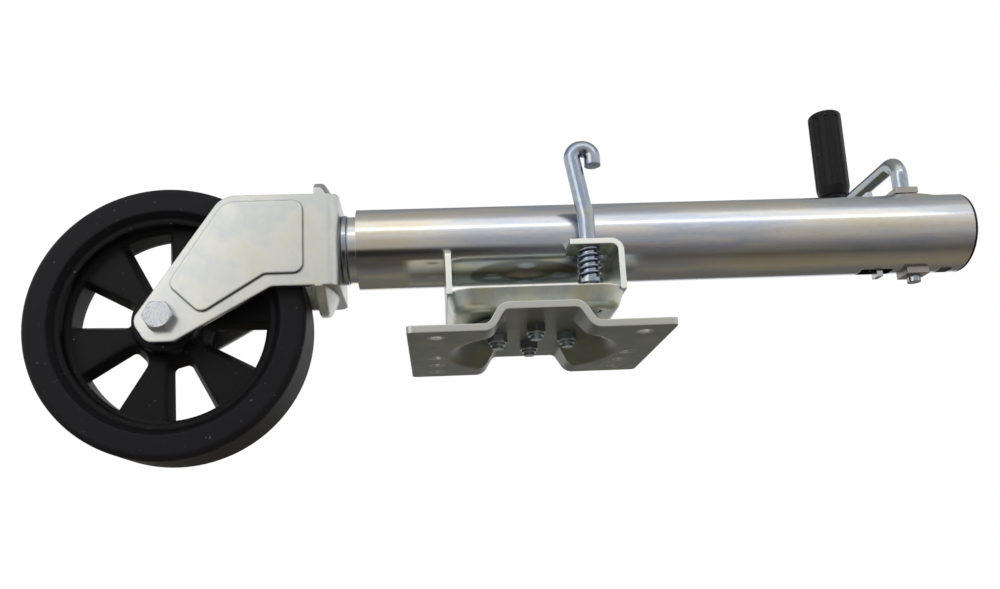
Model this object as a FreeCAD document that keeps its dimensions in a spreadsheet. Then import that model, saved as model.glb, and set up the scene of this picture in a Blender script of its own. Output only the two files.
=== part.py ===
import FreeCAD, Part
import math
import os
import Sketcher

# Frame of the part: the origin is the swing axis at the mounting face of the plate.
# X runs along the leg, from the wheel at -X to the crank at +X.
# Y runs across the leg, Z stands on the mounting face and points to the tube.

DIMENSIONS = dict(
    # Mounting plate, one pressed sheet with a channel across it and a round dish
    plate_length=183.0,
    plate_width=146.4,
    plate_wall=5.0,
    plate_corner=4.0,
    channel_rise=14.5,
    channel_top=50.0,
    channel_foot=68.0,
    dish_top=92.0,
    dish_foot=119.0,
    plate_bend=5.0,
    mount_hole=11.0,
    mount_pitch=143.6,
    mount_edge_row=56.0,
    drawbar_narrow=62.0,
    drawbar_middle=87.0,
    drawbar_wide=112.0,
    # Pivot between the plate and the swivel bracket
    pivot_bolt_circle=52.0,
    pivot_bolt=8.0,
    pivot_bolt_reach=24.0,
    bolt_clearance=0.4,
    hub_diameter=70.0,
    hub_bore=30.0,
    pivot_play=0.2,
    retainer_diameter=86.0,
    retainer_wall=4.0,
    hex_head_height=5.3,
    hex_across_flats=13.0,
    hex_bevel=0.6,
    nut_hex_height=6.0,
    nut_height=8.0,
    nut_collar=11.4,
    # Swivel bracket, a pressed pan with two ears
    bracket_wall=4.0,
    pan_floor_length=116.0,
    pan_floor_width=104.0,
    pan_floor_corner=15.0,
    pan_flare=19.0,
    pan_height=15.3,
    pan_bend=7.0,
    ear_width=100.0,
    ear_top=45.3,
    ear_corner=4.0,
    shelf_top=50.8,
    shelf_length=38.0,
    shelf_bend=5.0,
    weld_gap=0.15,
    # Lock pin with its bent pull handle, spring and collar
    pin_diameter=12.0,
    pin_along=39.5,
    pin_from_ear_edge=10.0,
    pin_nose_gap=0.25,
    pin_nose_chamfer=1.5,
    pin_clearance=0.3,
    lock_hole_clearance=0.5,
    pin_straight=70.0,
    pin_lean_run=8.5,
    pin_lean_rise=52.8,
    pin_hook_run=16.0,
    pin_hook_drop=13.0,
    pin_hook_bend=7.0,
    pin_lean_bend=30.0,
    collar_diameter=18.0,
    collar_height=3.0,
    collar_lift=20.0,
    spring_wire=1.8,
    spring_mean=15.4,
    spring_turns=5.0,
    spring_seat_gap=0.1,
    # Outer tube and its end hardware
    axis_height=84.0,
    tube_diameter=60.0,
    tube_wall=3.2,
    tube_mouth=-127.4,
    tube_end=334.5,
    crank_place=298.0,
    boss_rise=2.4,
    boss_reach=63.0,
    boss_half_width=27.0,
    bush_flange=17.5,
    bush_flange_height=3.6,
    bush_flange_corner=1.0,
    bush_barrel=14.0,
    carrier_place=267.5,
    carrier_wall=4.5,
    carrier_tab=9.0,
    carrier_tab_reach=4.0,
    carrier_tab_root=6.0,
    carrier_window=25.0,
    carrier_window_width=13.0,
    slot_clearance=0.2,
    cap_flange=2.0,
    cap_dome=2.6,
    cap_crown=36.0,
    cap_edge=1.2,
    cap_plug_length=14.0,
    cap_wall=2.5,
    cap_clip_rise=2.2,
    cap_clip_length=9.0,
    cap_clip_width=12.0,
    cap_clip_place=8.0,
    # Screw, gears and bearing inside the tube
    screw_diameter=20.0,
    screw_chamfer=1.0,
    screw_left_end=-45.0,
    screw_journal=12.0,
    screw_collar=30.0,
    screw_collar_height=4.0,
    race_outer=40.0,
    race_wall=2.5,
    ball_diameter=4.0,
    ball_count=12.0,
    cage_wall=1.6,
    bearing_gap=0.05,
    gear_module=2.0,
    gear_teeth=20.0,
    pinion_teeth=12.0,
    gear_face=7.4,
    gear_root_depth=2.4,
    gear_pressure_angle=20.0,
    gear_backlash=0.3,
    gear_hub=20.0,
    gear_gap=0.3,
    gear_pin_share=0.6,
    pinion_hub=16.0,
    pinion_back=3.7,
    roll_pin=3.0,
    pinion_pin=2.5,
    pin_fit=0.02,
    # Crank and grip
    crank_rod=12.0,
    crank_journal=10.0,
    crank_arm=112.0,
    crank_rise=62.0,
    crank_bend=14.0,
    crank_tail=5.0,
    shaft_clearance=0.05,
    grip_length=82.0,
    grip_diameter=29.0,
    grip_neck=25.0,
    grip_neck_edge=2.0,
    grip_shoulder=9.0,
    grip_shoulder_round=6.0,
    grip_top_edge=3.0,
    grip_flutes=10.0,
    grip_flute=6.0,
    grip_flute_depth=0.9,
    grip_clearance=0.3,
    grip_socket=70.0,
    # Sliding inner tube and what it carries
    leg_diameter=50.0,
    leg_wall=2.5,
    leg_low_end=-133.4,
    leg_top_end=245.0,
    guide_clearance=0.2,
    mouth_guide_length=20.0,
    mouth_guide_inset=1.0,
    leg_guide_length=18.0,
    nut_length=34.0,
    nut_flange=4.0,
    nut_clearance=0.1,
    plug_length=22.0,
    plug_flange=1.0,
    turned_edge=1.0,
    king_pin=16.0,
    king_head=28.0,
    king_head_height=6.0,
    king_head_edge=2.0,
    castor_race=52.0,
    castor_race_wall=4.2,
    castor_gap=0.2,
    # Castor fork, one pressed sheet
    fork_wall=4.0,
    wheel_side_gap=4.5,
    fork_top=32.4,
    fork_bottom=36.2,
    fork_shoulder_reach=82.9,
    fork_shoulder_round=18.0,
    fork_knee_reach=48.2,
    fork_knee_round=6.0,
    fork_bend=8.0,
    crown_flat=30.0,
    crown_rim=50.0,
    crown_cone=11.5,
    crown_lip=6.0,
    crown_round=9.0,
    panel_rise=2.0,
    panel_end_reach=25.7,
    panel_height=27.0,
    panel_shoulder_reach=81.0,
    panel_knee_reach=52.9,
    panel_foot=28.2,
    panel_foot_drop=54.7,
    panel_left=5.3,
    panel_left_drop=32.9,
    panel_round=7.0,
    eye_left=19.5,
    eye_low=17.7,
    eye_flat=19.0,
    eye_shift=2.0,
    eye_round=9.0,
    # Wheel on its axle
    wheel_gap=25.2,
    wheel_drop=56.3,
    wheel_diameter=200.0,
    wheel_width=50.0,
    tyre_wall=21.0,
    tyre_lip=3.0,
    tyre_lip_round=1.0,
    tyre_edge=5.0,
    rim_width=40.0,
    rim_wall=5.0,
    rim_ledge=4.0,
    rim_round=3.5,
    web_wall=20.0,
    wheel_hub=46.0,
    wheel_hub_edge=2.0,
    wheel_fillet=7.0,
    window_count=6.0,
    window_from_hub=7.0,
    window_narrow=12.0,
    window_wide=34.0,
    window_round=4.0,
    window_flare=22.0,
    window_turn=45.0,
    wheel_bush=24.0,
    axle_diameter=12.0,
    axle_head_height=7.5,
    axle_across_flats=19.0,
    axle_bevel=1.0,
    axle_nut_hex_height=9.0,
    axle_nut_height=12.0,
    axle_nut_collar=16.7,
    axle_tail=3.0,
    axle_play=0.3,
    spacer_diameter=22.0,
)

X_AXIS = FreeCAD.Vector(1, 0, 0)
Y_AXIS = FreeCAD.Vector(0, 1, 0)
Z_AXIS = FreeCAD.Vector(0, 0, 1)
NO_TURN = FreeCAD.Rotation()
ALONG_X = FreeCAD.Rotation(Y_AXIS, 90)
ALONG_Y = FreeCAD.Rotation(X_AXIS, -90)
UPSIDE_DOWN = FreeCAD.Rotation(X_AXIS, 180)
GROUND = -1
START, END, CENTRE = 1, 2, 3


class Size:
    """A length with its value and the sheet formula that gives it."""

    def __init__(self, value, formula):
        self.value = value
        self.formula = formula

    def __add__(self, other):
        other = as_size(other)
        return Size(self.value + other.value, f"({self.formula} + {other.formula})")

    def __sub__(self, other):
        other = as_size(other)
        return Size(self.value - other.value, f"({self.formula} - {other.formula})")

    def __mul__(self, other):
        other = as_size(other)
        return Size(self.value * other.value, f"({self.formula} * {other.formula})")

    def __truediv__(self, other):
        other = as_size(other)
        return Size(self.value / other.value, f"({self.formula} / {other.formula})")

    def __neg__(self):
        return Size(-self.value, f"(0 - {self.formula})")

    def __radd__(self, other):
        return as_size(other) + self

    def __rsub__(self, other):
        return as_size(other) - self

    def __rmul__(self, other):
        return as_size(other) * self

    def root(self):
        return Size(math.sqrt(self.value), f"sqrt({self.formula})")

    def tangent(self):
        """Tangent of an angle given in degrees."""
        return Size(math.tan(math.radians(self.value)), f"tan({self.formula} * 1 deg)")


def as_size(number):
    if isinstance(number, Size):
        return number
    return Size(float(number), repr(float(number)))


def value_of(number):
    return as_size(number).value


class Sheet:
    """The spreadsheet of driving dimensions; each one is read as an attribute."""

    def __init__(self, doc):
        self.cells = doc.addObject("Spreadsheet::Sheet", "Sizes")
        for row, (name, number) in enumerate(DIMENSIONS.items(), start=1):
            self.cells.set(f"A{row}", name)
            self.cells.set(f"B{row}", str(number))
            self.cells.setAlias(f"B{row}", name)
        doc.recompute()

    def __getattr__(self, name):
        return Size(float(self.cells.get(name)), f"Sizes.{name}")


doc = FreeCAD.newDocument("trailer_jack")
d = Sheet(doc)
nodes = []


# Helpers for bodies, sketches and features

def bind(thing, path, number):
    """Tie one property of an object to a size of the sheet."""
    if isinstance(number, Size):
        thing.setExpression(path, number.formula)


def place(thing, x=0, y=0, z=0, turn=NO_TURN):
    spot = FreeCAD.Vector(value_of(x), value_of(y), value_of(z))
    thing.Placement = FreeCAD.Placement(spot, turn)
    bind(thing, "Placement.Base.x", x)
    bind(thing, "Placement.Base.y", y)
    bind(thing, "Placement.Base.z", z)


def new_body(label, x=0, y=0, z=0, turn=NO_TURN):
    body = doc.addObject("PartDesign::Body", label)
    body.Label = label
    place(body, x, y, z, turn)
    nodes.append(body)
    return body


def sketch_on(body, plane, lift=0):
    """An empty sketch on one of the body's own origin planes, lifted off it."""
    sketch = body.newObject("Sketcher::SketchObject", "Outline")
    base = [item for item in body.Origin.OriginFeatures if item.Role == plane][0]
    sketch.AttachmentSupport = [(base, "")]
    sketch.MapMode = "FlatFace"
    sketch.AttachmentOffset = FreeCAD.Placement(FreeCAD.Vector(0, 0, value_of(lift)), NO_TURN)
    bind(sketch, "AttachmentOffset.Base.z", lift)
    return sketch


def fix_point(sketch, shape, point, x, y):
    """Hold a sketch point at its place from the origin of the sketch."""
    for kind, axis, number in (("DistanceX", -2, x), ("DistanceY", -1, y)):
        if value_of(number) == 0:
            sketch.addConstraint(Sketcher.Constraint("PointOnObject", shape, point, axis))
            continue
        rule = Sketcher.Constraint(kind, GROUND, START, shape, point, value_of(number))
        index = sketch.addConstraint(rule)
        bind(sketch, f"Constraints[{index}]", number)


def draw_circle(sketch, x, y, diameter):
    spot = FreeCAD.Vector(value_of(x), value_of(y), 0)
    ring = sketch.addGeometry(Part.Circle(spot, Z_AXIS, value_of(diameter) / 2), False)
    fix_point(sketch, ring, CENTRE, x, y)
    index = sketch.addConstraint(Sketcher.Constraint("Diameter", ring, value_of(diameter)))
    bind(sketch, f"Constraints[{index}]", diameter)
    return sketch


def corner_round(before, corner, after, radius):
    """Tangent points, centre and turning sense of a rounded corner."""
    arrive = (corner - before).normalize()
    leave = (after - corner).normalize()
    turn = math.acos(max(-1.0, min(1.0, arrive.dot(leave))))
    reach = radius * math.tan(turn / 2)
    left = arrive.cross(leave).z > 0
    side = Z_AXIS.cross(arrive) if left else arrive.cross(Z_AXIS)
    first = corner - arrive * reach
    return first, corner + leave * reach, first + side * radius, left


def draw_outline(sketch, corners, closed=True):
    """Straight edges through the corners; a third value rounds that corner."""
    count = len(corners)
    spots = [FreeCAD.Vector(value_of(c[0]), value_of(c[1]), 0) for c in corners]
    rounds = {}
    for i, corner in enumerate(corners):
        if len(corner) == 3:
            before, after = spots[i - 1], spots[(i + 1) % count]
            rounds[i] = corner_round(before, spots[i], after, value_of(corner[2]))
    edges = []
    for i in range(count if closed else count - 1):
        j = (i + 1) % count
        first = rounds[i][1] if i in rounds else spots[i]
        last = rounds[j][0] if j in rounds else spots[j]
        edges.append(sketch.addGeometry(Part.LineSegment(first, last), False))
    for i, corner in enumerate(corners):
        arriving, leaving = edges[i - 1], edges[i % len(edges)]
        if i in rounds:
            round_corner(sketch, corner, rounds[i], arriving, leaving)
        elif closed or 0 < i < count - 1:
            joint = Sketcher.Constraint("Coincident", arriving, END, leaving, START)
            sketch.addConstraint(joint)
            fix_point(sketch, leaving, START, corner[0], corner[1])
        elif i == 0:
            fix_point(sketch, edges[0], START, corner[0], corner[1])
        else:
            fix_point(sketch, edges[-1], END, corner[0], corner[1])
    return sketch


def round_corner(sketch, corner, shape, arriving, leaving):
    first, last, centre, left = shape
    start, end = (first, last) if left else (last, first)
    circle = Part.Circle(centre, Z_AXIS, value_of(corner[2]))
    arc = sketch.addGeometry(Part.ArcOfCircle(
        circle, circle.parameter(start), circle.parameter(end)), False)
    tip = sketch.addGeometry(Part.Point(FreeCAD.Vector(value_of(corner[0]), value_of(corner[1]), 0)), True)
    first_end, last_end = (START, END) if left else (END, START)
    sketch.addConstraint(Sketcher.Constraint("Tangent", arriving, END, arc, first_end))
    sketch.addConstraint(Sketcher.Constraint("Tangent", leaving, START, arc, last_end))
    sketch.addConstraint(Sketcher.Constraint("PointOnObject", tip, START, arriving))
    sketch.addConstraint(Sketcher.Constraint("PointOnObject", tip, START, leaving))
    fix_point(sketch, tip, START, corner[0], corner[1])
    index = sketch.addConstraint(Sketcher.Constraint("Radius", arc, value_of(corner[2])))
    bind(sketch, f"Constraints[{index}]", corner[2])


def centred_box(length, width, radius=None):
    """Corners of a rectangle about the sketch origin, rounded if a radius is given."""
    x, y = length / 2, width / 2
    signs = ((-1, -1), (1, -1), (1, 1), (-1, 1))
    if radius is None:
        return [(sx * x, sy * y) for sx, sy in signs]
    return [(sx * x, sy * y, radius) for sx, sy in signs]


def feature(body, kind, sketch, name):
    item = body.newObject("PartDesign::" + kind, name)
    item.Profile = sketch
    return item


def pad(body, sketch, length, both_ways=False, reverse=False):
    item = feature(body, "Pad", sketch, "Pad")
    item.Length = value_of(length)
    bind(item, "Length", length)
    item.Midplane = both_ways
    item.Reversed = reverse
    return item


def pocket(body, sketch, length=None, both_ways=True, reverse=False):
    """Cut through everything, or to the given length."""
    item = feature(body, "Pocket", sketch, "Pocket")
    item.Type = "ThroughAll" if length is None else "Length"
    if length is not None:
        item.Length = value_of(length)
        bind(item, "Length", length)
    item.Midplane = both_ways
    item.Reversed = reverse
    return item


def flare(item, angle):
    """Lean the sides of a pad or pocket outward."""
    item.TaperAngle = value_of(angle)
    bind(item, "TaperAngle", angle)
    return item


def turn_profile(body, corners, cut=False, axis="V_Axis", plane="XZ_Plane"):
    """Revolve a half section about the body's own axis, or groove with it."""
    sketch = draw_outline(sketch_on(body, plane), corners)
    item = feature(body, "Groove" if cut else "Revolution", sketch, "Turned")
    item.ReferenceAxis = (sketch, [axis])
    item.Angle = 360
    return item


def dress(body, base, kind, edges, size, name="Edge"):
    """Fillet or chamfer the named edges of the last feature."""
    item = body.newObject("PartDesign::" + kind, name)
    item.Base = (base, edges)
    field = "Radius" if kind == "Fillet" else "Size"
    setattr(item, field, value_of(size))
    bind(item, field, size)
    return item


def edges_where(shape, test):
    return [f"Edge{i}" for i, edge in enumerate(shape.Edges, start=1) if test(edge)]


def is_upright(edge, direction=Z_AXIS):
    if edge.Curve.TypeId != "Part::GeomLine":
        return False
    return abs(abs(edge.Curve.Direction.dot(direction)) - 1) < 1e-6


def pattern(body, items, count):
    """Repeat features round the body's own Z axis."""
    ring = body.newObject("PartDesign::PolarPattern", "Ring")
    ring.Originals = items
    base = [part for part in body.Origin.OriginFeatures if part.Role == "Z_Axis"][0]
    ring.Axis = (base, [""])
    ring.Angle = 360
    ring.Occurrences = int(round(value_of(count)))
    bind(ring, "Occurrences", count)
    body.Tip = ring


def code_shape(label, shape, x=0, y=0, z=0, turn=NO_TURN):
    """A sub-part whose form is worked out here from the sheet's sizes."""
    item = doc.addObject("Part::Feature", label)
    item.Label = label
    item.Shape = shape
    place(item, x, y, z, turn)
    nodes.append(item)
    return item


# Sizes that several sub-parts share

hat_top = d.channel_rise + d.plate_wall
bracket_floor = hat_top + d.pivot_play
hub_top = bracket_floor + d.bracket_wall + d.pivot_play
retainer_top = hub_top + d.retainer_wall
bolt_hole = d.pivot_bolt + d.bolt_clearance
tube_bore = d.tube_diameter - 2 * d.tube_wall
leg_bore = d.leg_diameter - 2 * d.leg_wall
pin_nose = hat_top + d.pin_nose_gap
lock_hole = d.pin_diameter + 2 * d.lock_hole_clearance
shelf_underside = bracket_floor + d.shelf_top - d.bracket_wall
collar_base = bracket_floor + d.collar_lift
collar_top = collar_base + d.collar_height
pin_across = d.ear_width / 2 - d.pin_from_ear_edge
crown_face = d.leg_low_end - d.plug_flange - d.castor_race_wall - d.castor_gap
wheel_place = crown_face - d.wheel_diameter / 2 - d.wheel_gap
wheel_height = d.axis_height - d.wheel_drop
rim_radius = d.wheel_diameter / 2 - d.tyre_wall
gear_cone = d.gear_module * d.pinion_teeth / 2
pinion_cone = d.gear_module * d.gear_teeth / 2
pinion_top = pinion_cone + d.pinion_back
carrier_end = d.carrier_place + d.carrier_wall
gear_back = d.crank_place - gear_cone - carrier_end - d.gear_gap
gear_front = d.crank_place - gear_cone + d.gear_module
gear_pin_place = d.crank_place - gear_cone - gear_back * d.gear_pin_share
pinion_pin_rise = pinion_cone + d.pinion_back / 2
race_start = d.carrier_place - 2 * d.race_wall - d.ball_diameter - 2 * d.bearing_gap
fork_inside = d.wheel_width + 2 * d.wheel_side_gap
fork_outside = fork_inside + 2 * d.fork_wall


# Mounting plate and pivot

def shoulder(rise, run, wall):
    """Sideways step of a bent sheet's far face against its near face."""
    slope = (rise * rise + run * run).root()
    return wall * (slope - run) / rise


def make_mounting_plate():
    """Pressed sheet with a channel across it and a round dish in the middle."""
    body = new_body("mounting_plate")
    half, wall = d.plate_length / 2, d.plate_wall
    inner, outer = d.plate_bend, d.plate_bend + wall
    foot, top, rise = d.channel_foot / 2, d.channel_top / 2, d.channel_rise
    step = shoulder(rise, foot - top, wall)
    hollow = [(-foot, 0, outer), (-top, rise, inner), (top, rise, inner), (foot, 0, outer)]
    upper = [(foot + step, wall, inner), (top + step, hat_top, outer),
             (-top - step, hat_top, outer), (-foot - step, wall, inner)]
    section = [(-half, 0)] + hollow + [(half, 0), (half, wall)] + upper + [(-half, wall)]
    sheet = pad(body, draw_outline(sketch_on(body, "XZ_Plane"), section), d.plate_width, both_ways=True)
    doc.recompute()
    corners = edges_where(sheet.Shape, is_upright)
    dress(body, sheet, "Fillet", corners, d.plate_corner)
    dish_foot, dish_top = d.dish_foot / 2, d.dish_top / 2
    dish_step = shoulder(rise, dish_foot - dish_top, wall)
    dish_edge = dish_foot + outer
    turn_profile(body, [
        (0, wall / 2), (dish_edge, wall / 2), (dish_edge, wall),
        (dish_foot + dish_step, wall, inner), (dish_top + dish_step, hat_top, outer), (0, hat_top)])
    turn_profile(body, [
        (0, -wall), (dish_edge, -wall), (dish_edge, 0),
        (dish_foot, 0, outer), (dish_top, rise, inner), (0, rise)], cut=True)
    margin = 2 * outer
    under = [(-foot - margin, -wall), (-foot - margin, 0)] + hollow
    under += [(foot + margin, 0), (foot + margin, -wall)]
    pocket(body, draw_outline(sketch_on(body, "XZ_Plane"), under))
    holes = sketch_on(body, "XY_Plane")
    rows = [0, d.drawbar_narrow, d.drawbar_middle, d.drawbar_wide]
    for side in (-1, 1):
        for row in rows:
            draw_circle(holes, side * d.mount_pitch / 2, row - d.mount_edge_row, d.mount_hole)
    ring = d.pivot_bolt_circle / 2
    for x, y in ((ring, 0), (-ring, 0), (0, ring), (0, -ring)):
        draw_circle(holes, x, y, bolt_hole)
    draw_circle(holes, d.pin_along, -pin_across, lock_hole)
    pocket(body, holes)


def ring_holes(body):
    """Four bolt holes on the pivot's bolt circle, cut by one and a pattern."""
    sketch = draw_circle(sketch_on(body, "XY_Plane"), d.pivot_bolt_circle / 2, 0, bolt_hole)
    hole = pocket(body, sketch)
    doc.recompute()
    pattern(body, [hole], 4)


def make_pivot_hub():
    """Spacer that the bracket turns round, as thick as the bracket and its play."""
    body = new_body("pivot_hub", z=hat_top)
    disc = sketch_on(body, "XY_Plane")
    draw_circle(disc, 0, 0, d.hub_diameter)
    draw_circle(disc, 0, 0, d.hub_bore)
    pad(body, disc, hub_top - hat_top)
    ring_holes(body)


def make_retaining_disc():
    body = new_body("retaining_disc", z=hub_top)
    disc = sketch_on(body, "XY_Plane")
    draw_circle(disc, 0, 0, d.retainer_diameter)
    draw_circle(disc, 0, 0, d.hub_bore)
    pad(body, disc, d.retainer_wall)
    ring_holes(body)


def hex_prism(across_flats, height, bevel):
    """A hexagon bar whose upper end is turned to a bevel."""
    reach = across_flats / math.sqrt(3)
    corners = []
    for k in range(7):
        angle = k * math.pi / 3
        corners.append(FreeCAD.Vector(reach * math.cos(angle), reach * math.sin(angle), 0))
    bar = Part.Face(Part.makePolygon(corners)).extrude(FreeCAD.Vector(0, 0, height))
    turned = Part.makeCylinder(reach, height - bevel)
    tip = Part.makeCone(reach, reach - 2 * bevel, bevel, FreeCAD.Vector(0, 0, height - bevel))
    return bar.common(turned.fuse(tip))


def lock_nut(across_flats, bevel, hex_height, height, collar, bore):
    """A hexagon nut with a round locking collar above the hexagon."""
    nut = hex_prism(across_flats.value, hex_height.value, bevel.value)
    nut = nut.fuse(Part.makeCylinder(collar.value / 2, height.value))
    return nut.cut(Part.makeCylinder(bore.value / 2, height.value)).removeSplitter()


def bolt_ring(solid):
    """Four copies of a solid on the pivot's bolt circle."""
    ring = d.pivot_bolt_circle.value / 2
    copies = []
    for quarter in range(4):
        copy = solid.copy()
        copy.rotate(FreeCAD.Vector(-ring, 0, 0), Z_AXIS, 90 * quarter)
        copy.translate(FreeCAD.Vector(ring, 0, 0))
        copies.append(copy)
    return Part.makeCompound(copies)


def make_pivot_bolts():
    """Bolts with their heads on the retaining disc and their ends in the hollow."""
    shank = Part.makeCylinder(d.pivot_bolt.value / 2, d.pivot_bolt_reach.value,
                              FreeCAD.Vector(0, 0, -d.pivot_bolt_reach.value))
    head = hex_prism(d.hex_across_flats.value, d.hex_head_height.value, d.hex_bevel.value)
    code_shape("pivot_bolts", bolt_ring(head.fuse(shank).removeSplitter()), z=retainer_top)


def make_pivot_nuts():
    """Locking nuts seated on the underside of the dish."""
    nut = lock_nut(d.hex_across_flats, d.hex_bevel, d.nut_hex_height, d.nut_height, d.nut_collar,
                   d.pivot_bolt)
    nut.rotate(FreeCAD.Vector(0, 0, 0), X_AXIS, 180)
    code_shape("pivot_nuts", bolt_ring(nut), z=d.channel_rise)


# Swivel bracket and lock pin

def make_swivel_bracket():
    """Pressed pan that turns on the hub, with ears that hold the tube."""
    body = new_body("swivel_bracket", z=bracket_floor)
    wall, height = d.bracket_wall, d.pan_height
    bottom = draw_outline(sketch_on(body, "XY_Plane"), centred_box(
        d.pan_floor_length, d.pan_floor_width, d.pan_floor_corner))
    pan = flare(pad(body, bottom, height), d.pan_flare)
    doc.recompute()
    low = edges_where(pan.Shape, lambda edge: edge.BoundBox.ZMax < 1e-6)
    dress(body, pan, "Fillet", low, d.pan_bend)
    lean = d.pan_flare.tangent()
    inset = 2 * shoulder(as_size(1), lean, wall)
    inside = draw_outline(sketch_on(body, "XY_Plane", wall), centred_box(
        d.pan_floor_length - inset, d.pan_floor_width - inset, d.pan_floor_corner - wall))
    flare(pocket(body, inside, height, both_ways=False, reverse=True), d.pan_flare)
    half = d.pan_floor_length / 2 + height * lean
    ear_half = d.ear_width / 2
    for side in (-1, 1):
        face = sketch_on(body, "YZ_Plane", half - wall if side > 0 else -half)
        top = d.ear_top
        draw_outline(face, [
            (-ear_half, height - wall / 2), (ear_half, height - wall / 2),
            (ear_half, top, d.ear_corner), (-ear_half, top, d.ear_corner)])
        pad(body, face, wall)
    make_shelf(body, half, ear_half)
    saddle = draw_circle(sketch_on(body, "YZ_Plane"), 0, d.axis_height - bracket_floor,
                         d.tube_diameter + 2 * d.weld_gap)
    pocket(body, saddle)
    holes = sketch_on(body, "XY_Plane")
    draw_circle(holes, 0, 0, d.hub_diameter + 2 * d.pivot_play)
    draw_circle(holes, d.pin_along, -pin_across, d.pin_diameter + 2 * d.pin_clearance)
    pocket(body, holes)


def make_shelf(body, half, ear_half):
    """The ear's near top, bent over into a shelf that guides the lock pin."""
    wall, top = d.bracket_wall, d.shelf_top
    bend = d.shelf_bend
    shelf_edge = pin_across - ear_half / 2
    side = sketch_on(body, "XZ_Plane", shelf_edge)
    draw_outline(side, [
        (half - wall, d.pan_height), (half, d.pan_height), (half, top, bend + wall),
        (half - d.shelf_length, top), (half - d.shelf_length, top - wall),
        (half - wall, top - wall, bend)])
    pad(body, side, ear_half - shelf_edge)


def make_lock_pin():
    """Spring pin whose upper end is bent into a pull handle."""
    body = new_body("lock_pin", d.pin_along, -pin_across, pin_nose)
    bore = draw_circle(sketch_on(body, "XY_Plane"), 0, 0, d.pin_diameter)
    path = sketch_on(body, "XZ_Plane")
    top = d.pin_straight + d.pin_lean_rise
    hook = d.pin_hook_run - d.pin_lean_run
    draw_outline(path, [
        (0, 0), (0, d.pin_straight, d.pin_lean_bend), (-d.pin_lean_run, top, d.pin_hook_bend),
        (hook, top, d.pin_hook_bend), (hook, top - d.pin_hook_drop)], closed=False)
    pipe = feature(body, "AdditivePipe", bore, "Rod")
    pipe.Spine = path
    doc.recompute()
    nose = edges_where(pipe.Shape, lambda edge: edge.BoundBox.ZMax < 1e-6)
    dress(body, pipe, "Chamfer", nose, d.pin_nose_chamfer)


def make_lock_collar():
    body = new_body("lock_pin_collar", d.pin_along, -pin_across, collar_base)
    ring = sketch_on(body, "XY_Plane")
    draw_circle(ring, 0, 0, d.collar_diameter)
    draw_circle(ring, 0, 0, d.pin_diameter)
    pad(body, ring, d.collar_height)


def make_lock_spring():
    """Compression spring between the shelf and the collar."""
    wire = d.spring_wire.value
    seat = d.spring_seat_gap.value
    free = shelf_underside.value - collar_top.value - 2 * seat
    climb = free - wire
    mean = d.spring_mean.value / 2
    helix = Part.makeHelix(climb / d.spring_turns.value, climb, mean)
    ring = Part.Wire(Part.makeCircle(wire / 2, FreeCAD.Vector(mean, 0, 0), Y_AXIS))
    coil = Part.Wire(helix).makePipeShell([ring], True, True)
    code_shape("lock_spring", coil, d.pin_along, -pin_across, collar_top + seat + d.spring_wire / 2)


# Outer tube with its cap, bushes and bearing carrier

def make_outer_tube():
    """Welded tube, pressed out round the crank and slotted for the carrier."""
    body = new_body("outer_tube", d.crank_place, 0, d.axis_height)
    outside = draw_circle(sketch_on(body, "YZ_Plane", d.tube_mouth - d.crank_place), 0, 0, d.tube_diameter)
    pad(body, outside, d.tube_end - d.tube_mouth)
    boss = body.newObject("PartDesign::AdditiveEllipsoid", "Boss")
    radius = d.tube_diameter / 2
    for field, size in (
            ("Radius1", radius + d.boss_rise), ("Radius2", d.boss_reach), ("Radius3", d.boss_half_width)):
        setattr(boss, field, value_of(size))
        bind(boss, field, size)
    boss.Angle1 = 0
    boss.Angle2 = 90
    doc.recompute()
    pocket(body, draw_circle(sketch_on(body, "YZ_Plane"), 0, 0, tube_bore))
    cuts = draw_circle(sketch_on(body, "XY_Plane"), 0, 0, d.bush_barrel)
    slot = d.carrier_place - d.crank_place
    gap = d.slot_clearance
    draw_box(cuts, slot - gap, slot + d.carrier_wall + gap, d.carrier_tab / 2 + gap)
    pocket(body, cuts)
    window = sketch_on(body, "XY_Plane")
    draw_box(window, slot - d.carrier_window / 2, slot + d.carrier_window / 2, d.carrier_window_width / 2)
    pocket(body, window, d.tube_diameter, both_ways=False)
    clip_end = d.tube_end - d.crank_place - d.cap_clip_place
    clip = sketch_on(body, "XY_Plane")
    draw_box(clip, clip_end - d.cap_clip_length - gap, clip_end + gap, d.cap_clip_width / 2 + gap)
    pocket(body, clip, d.tube_diameter, both_ways=False)


def draw_box(sketch, left, right, half_width):
    return draw_outline(sketch, [
        (left, -half_width), (right, -half_width), (right, half_width), (left, half_width)])


def turned(label, corners, x=0, y=0, z=0, turn=NO_TURN):
    """A sub-part turned from one half section about its own Z axis."""
    body = new_body(label, x, y, z, turn)
    turn_profile(body, corners)
    return body


def tube_section(inner, outer, low, high):
    """Half section of a plain ring or sleeve, by its diameters and ends."""
    return [(inner / 2, low), (outer / 2, low), (outer / 2, high), (inner / 2, high)]


def make_end_cap():
    """Moulded cap with a plug, and a clip that snaps into a slot of the tube."""
    plug = tube_bore / 2
    rim = d.tube_diameter / 2
    dome = d.cap_flange + d.cap_dome
    body = turned("end_cap", [
        (0, 0), (plug - d.cap_wall, 0), (plug - d.cap_wall, -d.cap_plug_length),
        (plug, -d.cap_plug_length), (plug, 0), (rim, 0), (rim, d.cap_flange, d.cap_edge),
        (d.cap_crown / 2, dome, rim), (0, dome)], d.tube_end, 0, d.axis_height, ALONG_X)
    clip = sketch_on(body, "YZ_Plane", plug - d.cap_wall / 2)
    low = -d.cap_clip_place - d.cap_clip_length
    half = d.cap_clip_width / 2
    draw_outline(clip, [(-half, low), (half, low), (half, -d.cap_clip_place), (-half, -d.cap_clip_place)])
    pad(body, clip, d.cap_wall / 2 + d.cap_clip_rise)


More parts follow.
